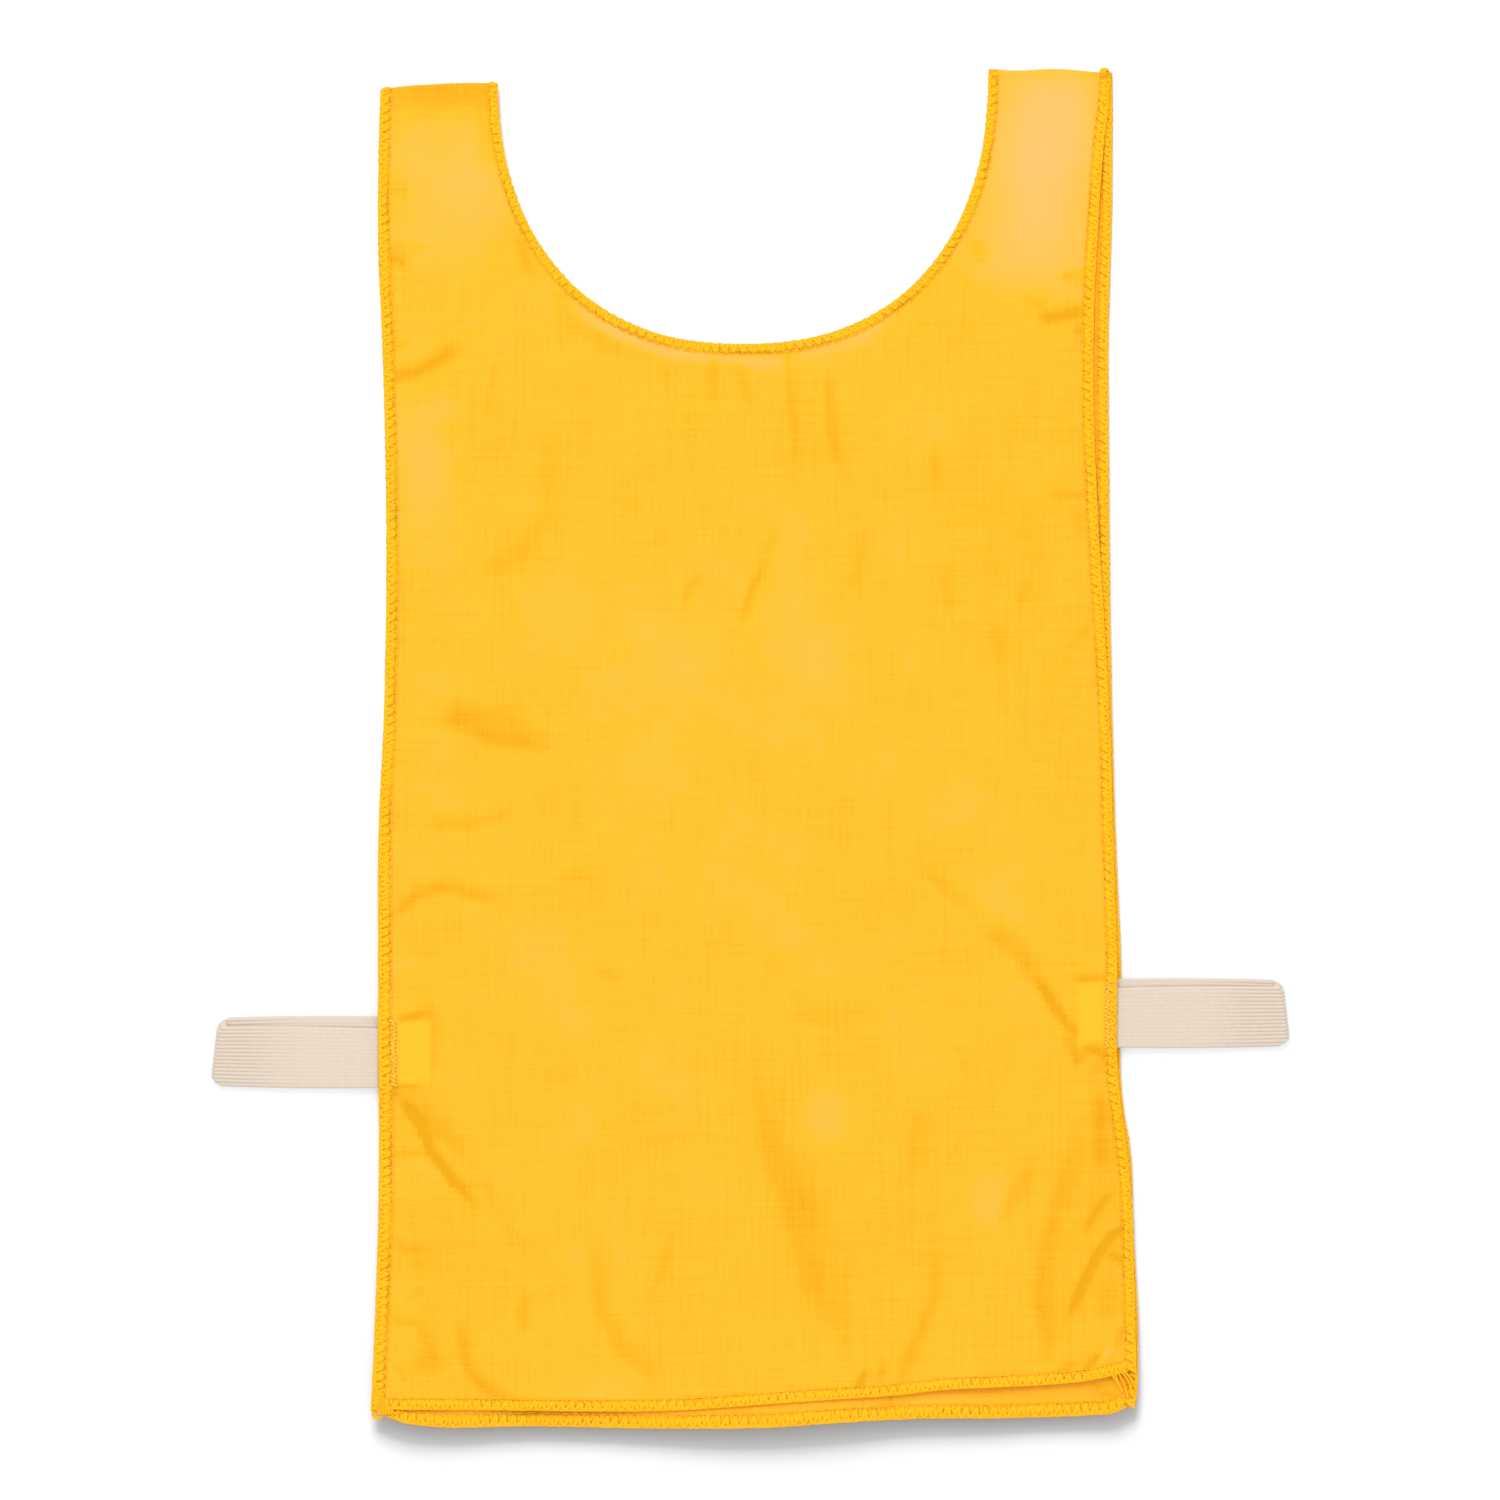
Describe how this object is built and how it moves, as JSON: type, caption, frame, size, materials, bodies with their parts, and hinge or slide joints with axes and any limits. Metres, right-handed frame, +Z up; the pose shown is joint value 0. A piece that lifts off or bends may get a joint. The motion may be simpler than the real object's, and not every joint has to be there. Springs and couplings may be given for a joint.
{
  "type": "sports training bib",
  "caption": "Sleeveless pull-over training bib in thin woven cloth, lying flat: front and back panels joined at the shoulders, overlocked edges and an elastic loop at each side.",
  "frame": {"origin": "under the middle of the bib's outline, on the surface it lies on", "axes": "+X to the right as seen from above with the shoulders at the top, +Y towards the shoulders, +Z up out of the surface"},
  "size_m": [0.4475, 0.5558, 0.0048],
  "materials": {
    "cloth": "thin woven nylon, soft sheen",
    "thread": "textured polyester thread",
    "elastic": "ribbed matt elastic band",
    "elastic_cores": "matt covered rubber strands"
  },
  "bodies": {
    "back": {"back_panel": "cloth", "back_neck_needle_thread": "thread", "back_neck_outer_looper": "thread", "back_neck_inner_looper": "thread", "back_left_side_needle_thread": "thread", "back_left_side_outer_looper": "thread", "back_left_side_inner_looper": "thread", "back_right_side_needle_thread": "thread", "back_right_side_outer_looper": "thread", "back_right_side_inner_looper": "thread", "back_hem_needle_thread": "thread", "back_hem_outer_looper": "thread", "back_hem_inner_looper": "thread", "back_left_bartack": "thread", "left_elastic_back_tail": "elastic", "left_elastic_back_tail_cores": "elastic_cores", "back_right_bartack": "thread", "right_elastic_back_tail": "elastic", "right_elastic_back_tail_cores": "elastic_cores", "left_shoulder_fold": "cloth", "left_shoulder_fold_loopers": "thread", "left_shoulder_fold_needle_thread": "thread", "right_shoulder_fold": "cloth", "right_shoulder_fold_loopers": "thread", "right_shoulder_fold_needle_thread": "thread"},
    "front": {"front_panel": "cloth", "front_neck_needle_thread": "thread", "front_neck_outer_looper": "thread", "front_neck_inner_looper": "thread", "front_left_side_needle_thread": "thread", "front_left_side_outer_looper": "thread", "front_left_side_inner_looper": "thread", "front_right_side_needle_thread": "thread", "front_right_side_outer_looper": "thread", "front_right_side_inner_looper": "thread", "front_hem_needle_thread": "thread", "front_hem_outer_looper": "thread", "front_hem_inner_looper": "thread", "front_left_bartack": "thread", "left_elastic_front_tail": "elastic", "left_elastic_front_tail_cores": "elastic_cores", "front_right_bartack": "thread", "right_elastic_front_tail": "elastic", "right_elastic_front_tail_cores": "elastic_cores", "front_left_chain_tail": "thread", "front_right_chain_tail": "thread"},
    "left_back_run": {"left_elastic_back_run": "elastic", "left_elastic_back_run_cores": "elastic_cores", "left_elastic_fold": "elastic", "left_elastic_fold_cores": "elastic_cores"},
    "left_front_run": {"left_elastic_front_run": "elastic", "left_elastic_front_run_cores": "elastic_cores"},
    "right_back_run": {"right_elastic_back_run": "elastic", "right_elastic_back_run_cores": "elastic_cores", "right_elastic_fold": "elastic", "right_elastic_fold_cores": "elastic_cores"},
    "right_front_run": {"right_elastic_front_run": "elastic", "right_elastic_front_run_cores": "elastic_cores"}
  },
  "joints": [
    {"name": "shoulder_opening", "type": "hinge", "parent": "back", "child": "front", "pos_m": [0, 0.27548, 0.0024], "axis": [-1, 0, 0], "range_deg": [0, 15], "deforming": ["left_shoulder_fold", "left_shoulder_fold_loopers", "left_shoulder_fold_needle_thread", "right_shoulder_fold", "right_shoulder_fold_loopers", "right_shoulder_fold_needle_thread"]},
    {"name": "left_elastic_lift", "type": "hinge", "parent": "back", "child": "left_back_run", "pos_m": [-0.15581, -0.12752, 0.0016], "axis": [0, 1, 0], "range_deg": [0, 55.54]},
    {"name": "left_elastic_opening", "type": "hinge", "parent": "left_back_run", "child": "left_front_run", "pos_m": [-0.22031, -0.12752, 0.0024], "axis": [-0.158, -0.9874, 0], "range_deg": [0, 111.66], "deforming": ["left_elastic_fold", "left_elastic_fold_cores"]},
    {"name": "right_elastic_lift", "type": "hinge", "parent": "back", "child": "right_back_run", "pos_m": [0.15564, -0.11152, 0.0016], "axis": [0, -1, 0], "range_deg": [0, 52.38]},
    {"name": "right_elastic_opening", "type": "hinge", "parent": "right_back_run", "child": "right_front_run", "pos_m": [0.22014, -0.11152, 0.0024], "axis": [-0.1644, 0.9864, 0], "range_deg": [0, 105.41], "deforming": ["right_elastic_fold", "right_elastic_fold_cores"]}
  ],
  "couplings": [
    {"joint": "left_elastic_lift", "follows": "shoulder_opening", "ratio": 3.6895},
    {"joint": "left_elastic_opening", "follows": "shoulder_opening", "ratio": 7.4242},
    {"joint": "right_elastic_lift", "follows": "shoulder_opening", "ratio": 3.4785},
    {"joint": "right_elastic_opening", "follows": "shoulder_opening", "ratio": 7.0076}
  ]
}
